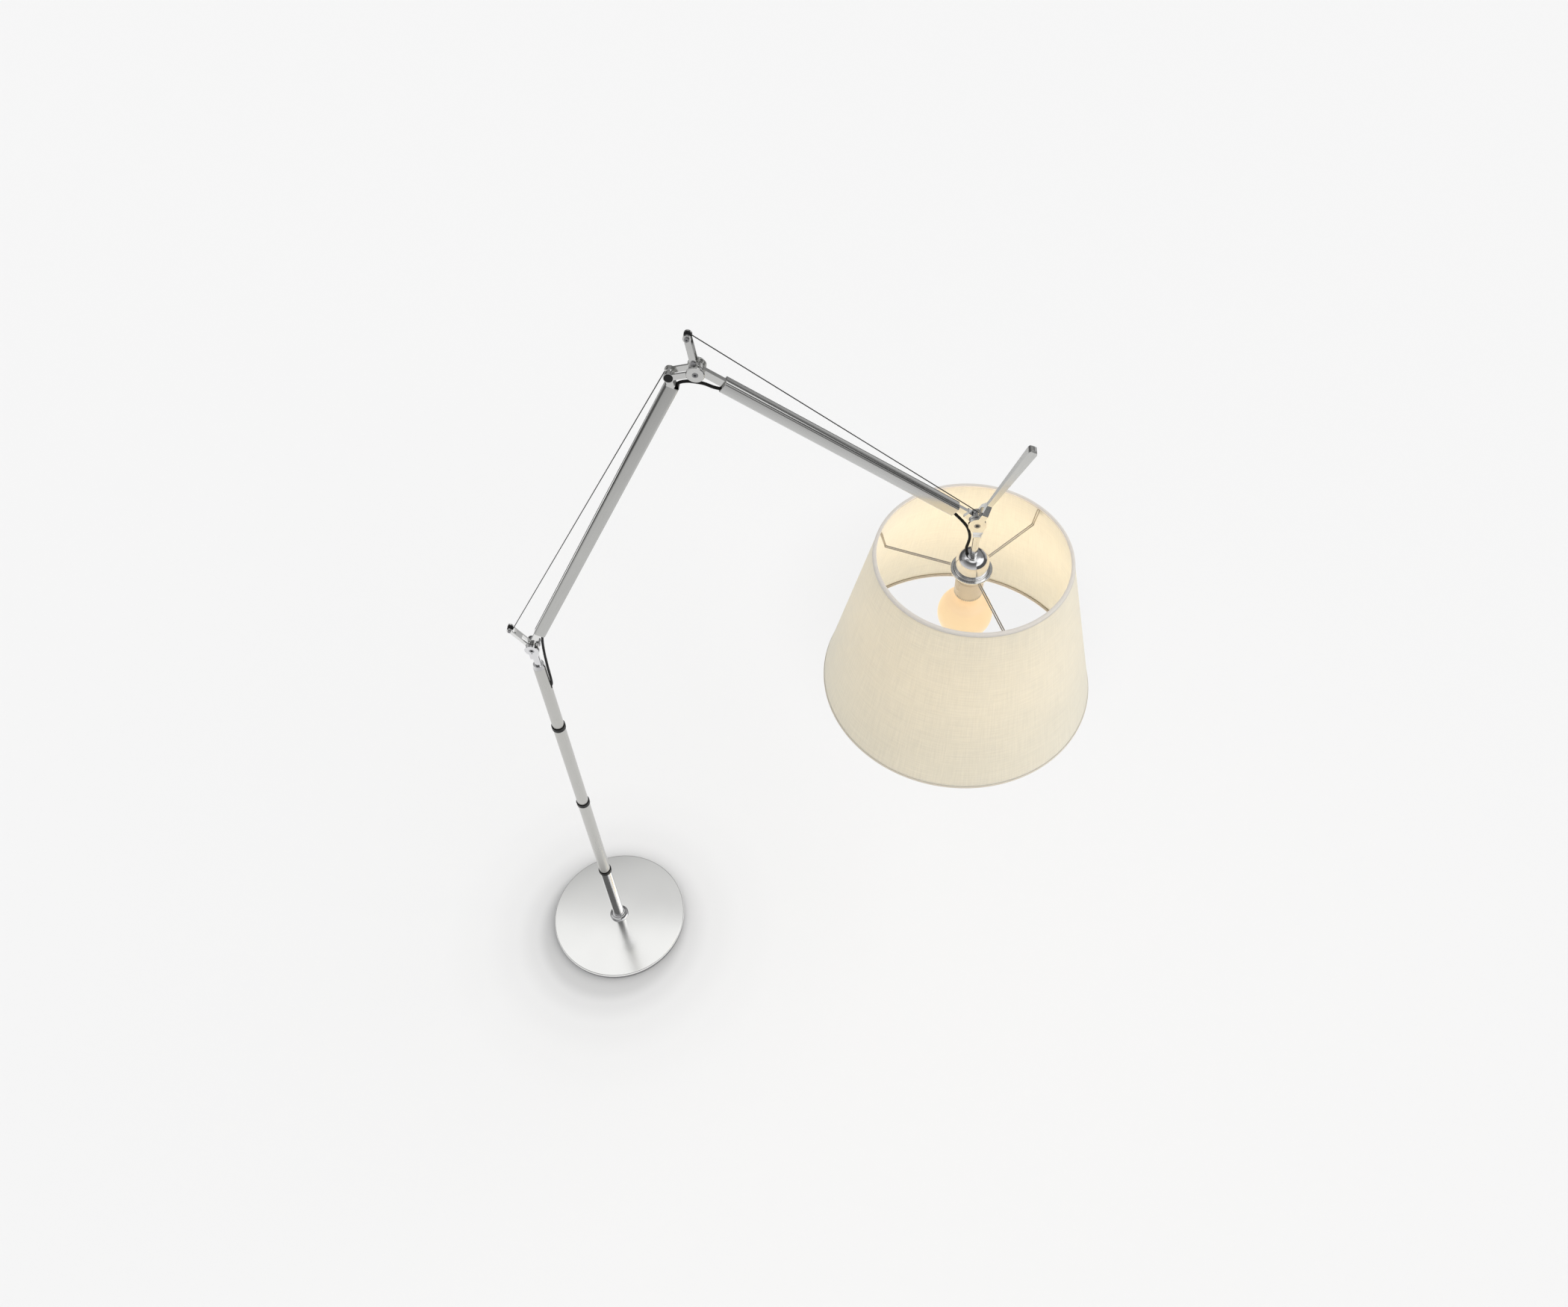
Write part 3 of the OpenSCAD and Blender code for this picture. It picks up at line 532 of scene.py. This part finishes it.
def lit_globe(name, middle):
    """Frosted globe, lit: a little paler low down, warmer round its neck."""
    t = Tree(name)
    parts = t.add("SeparateXYZ")
    t.join(t.place(), parts.inputs[0])
    up = t.between(parts.outputs["Z"], middle - 0.04, middle + 0.05, 0.0, 1.0)
    glow = t.ramp(up, [(0.0, (1.0, 0.80, 0.52)), (0.55, (0.98, 0.73, 0.42)), (0.85, (0.93, 0.62, 0.33)),
                       (1.0, (0.8, 0.5, 0.27))])
    frost = t.noise(t.place((60, 60, 60)), 1.0, 3.0)
    glow = t.mix(t.between(frost, 0.3, 0.7, 0.0, 0.06), glow, (1.0, 0.85, 0.62))
    return t.finish(t.surface(base_color=(0.4, 0.34, 0.26), roughness=0.35, emission_color=glow,
                              emission_strength=0.57))


# ---- mesh helpers --------------------------------------------------------------------


def new_piece(name, points, faces, material, maps=None, smooth=True):
    mesh = bpy.data.meshes.new(name)
    mesh.from_pydata([tuple(p) for p in points], [], faces)
    mesh.update()
    piece = bpy.data.objects.new(name, mesh)
    bpy.context.scene.collection.objects.link(piece)
    mesh.materials.append(material)
    if maps:
        label, values = maps
        layer = mesh.uv_layers.new(name=label)
        for corner_uv, value in zip(layer.data, values):
            corner_uv.uv = value
    if smooth:
        mesh.shade_smooth()
    return piece


def turned(name, outline, axis, material, sides=192, label="turned", closed=True):
    """A ring of revolution about an upright axis, from an outline of (radius, height) pairs."""
    n = len(outline)
    points = []
    for i in range(sides):
        a = 2 * math.pi * i / sides
        points += [Vector((axis.x + r * math.cos(a), axis.y + r * math.sin(a), z)) for r, z in outline]
    steps = [0.0]
    for (r0, z0), (r1, z1) in zip(outline, outline[1:] + outline[:1]):
        steps.append(steps[-1] + math.hypot(r1 - r0, z1 - z0))
    middle = sum(r for r, z in outline) / n
    faces, uvs = [], []
    for i in range(sides):
        j = (i + 1) % sides
        u0, u1 = (2 * math.pi * middle * k / sides for k in (i, i + 1))
        for k in range(n if closed else n - 1):
            m = (k + 1) % n
            faces.append((i * n + k, j * n + k, j * n + m, i * n + m))
            v0, v1 = steps[k], steps[k + 1]
            uvs += [(u0, v0), (u1, v0), (u1, v1), (u0, v1)]
    return new_piece(name, points, faces, material, (label, uvs))


def spline(points, parts):
    """A smooth curve through points."""
    line = []
    last = len(points) - 1
    for i in range(last):
        a, b, c, d = (points[max(i - 1, 0)], points[i], points[i + 1], points[min(i + 2, last)])
        for k in range(parts):
            t = k / parts
            line.append(0.5 * (2 * b + (c - a) * t + (2 * a - 5 * b + 4 * c - d) * t * t
                               + (3 * b - a - 3 * c + d) * t ** 3))
    line.append(points[-1])
    return line


def tube(name, line, radius, material, sides=16, closed=True):
    """A round tube along a line in an upright plane. Its map is a turn round by metres along."""
    points, faces, uvs = [], [], []
    length = [0.0]
    for a, b in zip(line, line[1:]):
        length.append(length[-1] + (b - a).length)
    span = line[-1] - line[0]
    level = Vector((-span.y, span.x, 0)).normalized()
    for i, p in enumerate(line):
        way = (line[min(i + 1, len(line) - 1)] - line[max(i - 1, 0)]).normalized()
        other = way.cross(level).normalized()
        for j in range(sides):
            a = 2 * math.pi * j / sides
            points.append(p + radius * (other * math.cos(a) + other.cross(way) * math.sin(a)))
    for i in range(len(line) - 1):
        for j in range(sides):
            k = (j + 1) % sides
            faces.append((i * sides + j, (i + 1) * sides + j, (i + 1) * sides + k, i * sides + k))
            uvs += [(j / sides, length[i]), (j / sides, length[i + 1]),
                    ((j + 1) / sides, length[i + 1]), ((j + 1) / sides, length[i])]
    if closed:
        ends = len(points)
        points += points[:sides] + points[ends - sides:]
        faces.append(tuple(ends + j for j in range(sides)))
        faces.append(tuple(ends + sides + j for j in reversed(range(sides))))
        uvs += [(0, 0)] * (2 * sides)
    return new_piece(name, points, faces, material, ("tube", uvs))


make_camera()
make_world()
make_stage()

# ---- materials of the CAD pieces -----------------------------------------------------

ARM1_CROWN = 22.0
ARM2_CROWN = 34.0
HANDLE_ANGLE = math.radians(67)

# The two arms are the same satin metal; the lower arm is given a darker colour than the upper arm for how
# light falls on each: painted shade on the lower arm.
arm1_metal = metal("arm1_satin", (0.53, 0.53, 0.515), 0.14, -ARM1_ANGLE, crown=ARM1_CROWN)
arm2_metal = metal("arm2_satin", (0.68, 0.68, 0.67), 0.16, -ARM2_ANGLE, crown=ARM2_CROWN)
joint_metal = metal("joint_satin", (0.84, 0.84, 0.825), 0.14, 0.0, lengthwise=900.0)
bright_metal = metal("bright", (0.78, 0.78, 0.79), 0.06, grain=0.01, wear=0.05)
pole_metal = metal("pole_satin", (0.595, 0.59, 0.565), 0.3, math.pi / 2)
steel = metal("steel", (0.4, 0.4, 0.41), 0.28, lengthwise=900.0)
handle_metal = metal("handle_satin", (0.82, 0.82, 0.80), 0.2, -HANDLE_ANGLE)
base_metal = spun_metal("base_brushed", (0.9, 0.9, 0.885), 0.16)
rubber = plastic("rubber", 0.02, 0.75, bump=0.0001)
black = plastic("black_plastic", 0.008, 0.4, shine=0.3)
black_lead = plastic("black_lead", 0.006, 0.42, scale=1500.0, shine=0.2)
holder_low, _, holder_middle = corner("lamp_holder")
ivory = ivory_barrel("ivory", (0.62, 0.545, 0.44), (holder_middle.x, holder_middle.y, 0), holder_low.z)
enamel = metal("spoke_metal", (0.50, 0.465, 0.42), 0.3)
iron = cast_iron("cast_weight")
wire_metal = twisted_wire("twisted_wire")
linen_cloth = linen("linen")
rim_tape = tape("rim_tape", (0.66, 0.62, 0.57))
foot_tape = tape("foot_tape", (0.66, 0.60, 0.50))

FINISHES = {
    rubber: ["base_pad", "cord_inlet"],
    iron: ["base_weight"],
    base_metal: ["base_cover"],
    bright_metal: ["base_hub", "pole_tube_4", "pole_ferrule", "swivel_fork", "lamp_cap", "arm2_pulley"],
    pole_metal: ["pole_tube_1", "pole_tube_2", "pole_tube_3"],
    black: ["collar_1", "collar_2", "collar_3", "lower_lever_roller", "elbow_lever_roller",
            "shoulder_washers", "elbow_washers", "pulley_pin"],
    black_lead: ["pole_lead_coil", "arm1_lead", "arm2_lead"],
    steel: ["foot_plug", "base_bolt", "shoulder_screws", "shoulder_axle", "elbow_screws", "elbow_axle",
            "head_axle", "arm1_spring", "arm2_spring"],
    joint_metal: ["lower_lever", "shoulder_knob", "shoulder_knuckle", "elbow_bracket", "elbow_lever",
                  "elbow_discs", "arm1_pulley", "elbow_knuckle", "arm2_tongue", "head_yoke", "shade_flange"],
    arm1_metal: ["arm1_tube"],
    arm2_metal: ["arm2_tube"],
    handle_metal: ["aim_handle"],
    enamel: ["spider", "shade_rings", "bulb_cap"],
    ivory: ["lamp_holder"],
}
for material, names in FINISHES.items():
    for node in names:
        mesh = NODES[node].data
        mesh.materials.clear()
        mesh.materials.append(material)

# ---- edges of the metal pieces -------------------------------------------------------

EDGES_MM = {"base_cover": 0.8, "base_hub": 0.3, "arm1_tube": 0.5, "arm2_tube": 0.5, "aim_handle": 1.2,
            "head_yoke": 0.5, "swivel_fork": 0.5, "elbow_bracket": 0.5, "elbow_lever": 0.15,
            "lower_lever": 0.15, "elbow_knuckle": 0.4, "shoulder_knuckle": 0.4, "arm2_tongue": 0.4,
            "elbow_discs": 0.4, "shoulder_knob": 0.4, "lamp_cap": 0.2, "shade_flange": 0.3,
            "arm1_pulley": 0.2, "collar_1": 0.3, "collar_2": 0.3, "collar_3": 0.3, "pole_ferrule": 0.3}


def soften_edges(node, width_mm):
    """Small rounded edges on a CAD piece, which keep its own points where they are."""
    piece = NODES[node]
    if "custom_normal" in piece.data.attributes:
        piece.data.attributes.remove(piece.data.attributes["custom_normal"])
    piece.data.shade_smooth()
    weld = piece.modifiers.new("weld", "WELD")
    weld.merge_threshold = 0.00001
    bevel = piece.modifiers.new("edges", "BEVEL")
    bevel.width = width_mm * MM
    bevel.segments = 3
    bevel.limit_method = "ANGLE"
    bevel.angle_limit = math.radians(28)
    bevel.harden_normals = True


for node, width_mm in EDGES_MM.items():
    soften_edges(node, width_mm)

# ---- shade and bulb ------------------------------------------------------------------

low, high, middle = corner("shade_fabric")
LAMP_AXIS = Vector((middle.x, middle.y, 0))
SHADE_TOP, SHADE_BOTTOM = high.z, low.z
SHADE_BOTTOM_R = (high.x - low.x) / 2
SHADE_TOP_R = 0.141
CLOTH_T = 0.0009
SHADE_ROWS = 48


def shade_outline():
    """Down the outside of the cloth and back up the inside."""
    outside = []
    for i in range(SHADE_ROWS + 1):
        t = i / SHADE_ROWS
        outside.append((SHADE_TOP_R + (SHADE_BOTTOM_R - SHADE_TOP_R) * t,
                        SHADE_TOP + (SHADE_BOTTOM - SHADE_TOP) * t))
    return outside + [(r - CLOTH_T, z) for r, z in reversed(outside)]


cloth = turned("shade_cloth", shade_outline(), LAMP_AXIS, linen_cloth, label="cloth")
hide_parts("shade_fabric")
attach(cloth, "head")

SLOPE = (SHADE_BOTTOM_R - SHADE_TOP_R) / (SHADE_TOP - SHADE_BOTTOM)
TAPE_PROUD = 0.0006
TAPE_T = 0.0006


def rolled(r, z, up, drop, inner):
    """Outline of a tape folded over a rim: outside face, rounded fold, inside face."""
    turn = []
    half = (inner + TAPE_PROUD) / 2
    for i in range(9):
        a = math.pi * i / 8
        turn.append((r + TAPE_PROUD - half + half * math.cos(a), z + up * half * 0.42 * math.sin(a)))
    lean = up * SLOPE
    outer = [(r + TAPE_PROUD + lean * drop, z - up * drop)]
    inside = [(r - inner, z - up * drop * 0.55), (r - inner + TAPE_T, z - up * drop * 0.55)]
    under = [(r - inner + TAPE_T, z), (r + 0.0001, z), (r + 0.0001 + lean * drop, z - up * drop)]
    return outer + turn + inside + under


top_fold = rolled(SHADE_TOP_R, SHADE_TOP, 1, 0.0034, 0.0044)
foot_fold = rolled(SHADE_BOTTOM_R, SHADE_BOTTOM, -1, 0.0026, 0.0053)
top_tape = turned("shade_top_tape", top_fold, LAMP_AXIS, rim_tape, label="tape")
foot = turned("shade_foot_tape", foot_fold, LAMP_AXIS, foot_tape, label="tape")
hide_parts("shade_bindings")
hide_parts("shade_bindings")
for piece in (top_tape, foot):
    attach(piece, "head")

globe_low, globe_high, globe_middle = corner("bulb_globe")
GLOBE_R = (globe_high.x - globe_low.x) / 2
GLOBE_Z = globe_low.z + GLOBE_R
NECK_R = 0.0158
NECK_TOP = globe_high.z - 0.012


def globe_outline():
    """From the lowest point round the globe, and up a smooth neck."""
    ball = [(max(GLOBE_R * math.sin(a), 0.0), GLOBE_Z - GLOBE_R * math.cos(a))
            for a in [math.radians(d) for d in range(0, 136, 4)]]
    r, z = ball[-1]
    neck = []
    for i in range(1, 9):
        t = i / 8
        neck.append((r + (NECK_R - r) * (1 - (1 - t) ** 2), z + (NECK_TOP - z) * (t * t * 0.35 + t * 0.65)))
    return ball + neck + [(NECK_R, globe_high.z), (0.0, globe_high.z)]


glowing_glass = lit_globe("lit_globe", GLOBE_Z)
globe = turned("bulb_glass", globe_outline(), LAMP_AXIS, glowing_glass, sides=96, closed=False)
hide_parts("bulb_globe")
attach(globe, "head")
globe.visible_shadow = False

BULB_WATTS = 0.86
BULB_COLOUR = (1.0, 0.86, 0.72)

light = bpy.data.lights.new("bulb_light", "POINT")
light.energy = BULB_WATTS
light.color = BULB_COLOUR
light.shadow_soft_size = 0.03
bulb_light = bpy.data.objects.new("bulb_light", light)
bulb_light.location = (LAMP_AXIS.x, LAMP_AXIS.y, GLOBE_Z)
bpy.context.scene.collection.objects.link(bulb_light)
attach(bulb_light, "head")

# ---- spokes --------------------------------------------------------------------------

SPOKE_ANGLES = (45, 163, 291)
SPOKE_Z = HEAD.z - 0.1021
SPOKE_RIM_R = SHADE_TOP_R - 0.0036
SPOKE_KINK_R = 0.129
HUB_IN_R = 0.0172
HUB_OUT_R = 0.0236
SPOKE_WIRE_R = 0.0009
SPOKE_GAP = 0.0014          # half the distance between a spoke's two wires


def spoke_line(angle, side):
    """One of a spoke's two wires: out from the hub, over the bend, and round the loop at the rim."""
    out = Vector((math.cos(angle), math.sin(angle), 0))
    across = Vector((-math.sin(angle), math.cos(angle), 0)) * side
    steps = [(0.021, SPOKE_Z, 1.0), (0.075, SPOKE_Z, 1.0), (SPOKE_KINK_R - 0.004, SPOKE_Z, 1.0),
             (SPOKE_KINK_R, SPOKE_Z + 0.0008, 1.0), (SPOKE_KINK_R + 0.0014, SPOKE_Z + 0.005, 1.0),
             (SPOKE_RIM_R - 0.0012, SHADE_TOP - 0.006, 1.25), (SPOKE_RIM_R, SHADE_TOP - 0.0028, 0.2)]
    return [LAMP_AXIS + out * r + across * SPOKE_GAP * gap + Vector((0, 0, z)) for r, z, gap in steps]


def make_spokes():
    """Three pairs of wires and their ring, joined into one piece."""
    lines = [spline(spoke_line(math.radians(a), side), 5) for a in SPOKE_ANGLES for side in (-1, 1)]
    wires = [tube("spoke", line, SPOKE_WIRE_R, enamel, 10) for line in lines]
    low_edge, high_edge = SPOKE_Z - 0.0012, SPOKE_Z + 0.0006
    ring = [(HUB_IN_R, low_edge), (HUB_OUT_R, low_edge), (HUB_OUT_R, high_edge), (HUB_IN_R, high_edge)]
    hub = turned("spoke_hub", ring, LAMP_AXIS, enamel, sides=96, label="tube")
    for wire in wires:
        wire.select_set(True)
    hub.select_set(True)
    bpy.context.view_layer.objects.active = hub
    bpy.ops.object.join()
    hub.name = "shade_spokes"
    return hub


bpy.ops.object.select_all(action="DESELECT")
spokes = make_spokes()
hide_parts("spider")
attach(spokes, "head")

# ---- leads ---------------------------------------------------------------------------

LEAD_R = 0.0021
LEAD_Z = -5.3               # the lead's height in the arm tubes, in mm over their middle


def flat_points(pivot, pairs):
    """Points x and z, in mm, from a pivot, in the plane y = 0."""
    return [pivot + MM * Vector((x, 0, z)) for x, z in pairs]


def lead(name, route, node, a, b, start, end):
    """A lead over a joint, which turns from body a to body b between start and end."""
    piece = tube(name, spline(route, 6), LEAD_R, black_lead, 16)
    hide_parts(node)
    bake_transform(piece, a, b, start=start, end=end)
    return piece


neck_route = flat_points(SHOULDER, [(14.75, -38.15), (14.1, -56), (13.7, -76), (13.2, -93), (11.9, -104.5),
                                    (8.6, -112.5), (4.6, -119), (2, -128), (1, -140)])
shoulder_route = ([along(SHOULDER, ARM1_ANGLE, 43.9, LEAD_Z), along(SHOULDER, ARM1_ANGLE, 37, LEAD_Z - 0.2)]
                  + flat_points(SHOULDER, [(18.6, 14), (17, -1), (16, -14), (15.2, -26), (14.75, -38.15)]))
elbow_route = ([along(ELBOW, ARM1_ANGLE, -36.6, LEAD_Z + 17), along(ELBOW, ARM1_ANGLE, -29.5, LEAD_Z + 16.2)]
               + flat_points(ELBOW, [(-13, -18.6), (-3, -19.4), (8, -21.6), (19, -26.6)])
               + [along(ELBOW, ARM2_ANGLE, x, z) for x, z in ((39, -8.6), (45, -6.2), (51.9, LEAD_Z))])
head_route = ([along(HEAD, ARM2_ANGLE, -46.9, LEAD_Z), along(HEAD, ARM2_ANGLE, -41, LEAD_Z - 0.2)]
              + flat_points(HEAD, [(-27.6, 7.6), (-19, -3), (-12.4, -13), (-8.4, -24), (-6.6, -35),
                                   (-7.6, -46), (-9, -56), (-7.6, -66), (-6.5, -76), (-5.8, -86)]))
lead("neck_lead", neck_route, "lead_neck", "swivel", "pole_upper", neck_route[0] + Vector((0, 0, -0.002)),
     Vector((neck_route[0].x, 0, SHOULDER.z - 0.1)))
lead("shoulder_lead", shoulder_route, "lead_shoulder", "swivel", "arm_1", shoulder_route[-2],
     shoulder_route[1])
lead("elbow_lead", elbow_route, "lead_elbow", "arm_1", "arm_2", elbow_route[1], elbow_route[-3])
lead("head_lead", head_route, "lead_head", "arm_2", "head", head_route[1], head_route[6])

# ---- wires ---------------------------------------------------------------------------

WIRE_R = 0.0007
WIRE_PARTS = 120


def taut_wire(name, node):
    """A straight wire between the two ends that the CAD wire has."""
    first, last = wire_ends(node)
    line = [first.lerp(last, i / WIRE_PARTS) for i in range(WIRE_PARTS + 1)]
    piece = tube(name, line, WIRE_R, wire_metal, 10)
    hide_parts(node)
    return piece, first, last


def turn_shares(piece, first, last, pivot, direction):
    """Each point of the wire turns by the share that keeps the wire nearly straight, for a first end that
    stays still and a last end that turns with the arm."""
    begin = (first - pivot).dot(direction)
    run = (last - first).dot(direction)
    layer = piece.data.attributes["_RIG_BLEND"]
    for vertex, share in zip(piece.data.vertices, layer.data):
        t = min(max((vertex.co - first).dot(direction) / run, 0.0), 1.0)
        share.value = (1 - t) * begin / (begin + run * t)


def wire_ends(node):
    """The two ends of a straight wire that the CAD holds, lowest x first."""
    points = [v.co for v in NODES[node].data.vertices]
    left, right = min(points, key=lambda p: p.x).x, max(points, key=lambda p: p.x).x
    ends = []
    for side in (left, right):
        near = [p for p in points if abs(p.x - side) < 0.0015]
        ends.append(sum(near, Vector()) / len(near))
    return ends


UPPER_WIRE_BEND = 0.095     # how far from the lever the upper wire has turned with its arm

wire, first, last = taut_wire("lower_wire", "arm1_wire")
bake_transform(wire, "arm_1", "swivel", start=last, end=first)
turn_shares(wire, first, last, SHOULDER, along(Vector((0, 0, 0)), ARM1_ANGLE, 1000, 0))

wire, first, last = taut_wire("upper_wire", "arm2_wire")
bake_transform(wire, "arm_1", "arm_2", start=first, end=first + (last - first).normalized() * UPPER_WIRE_BEND)

bpy.context.scene.view_settings.view_transform = "Standard"
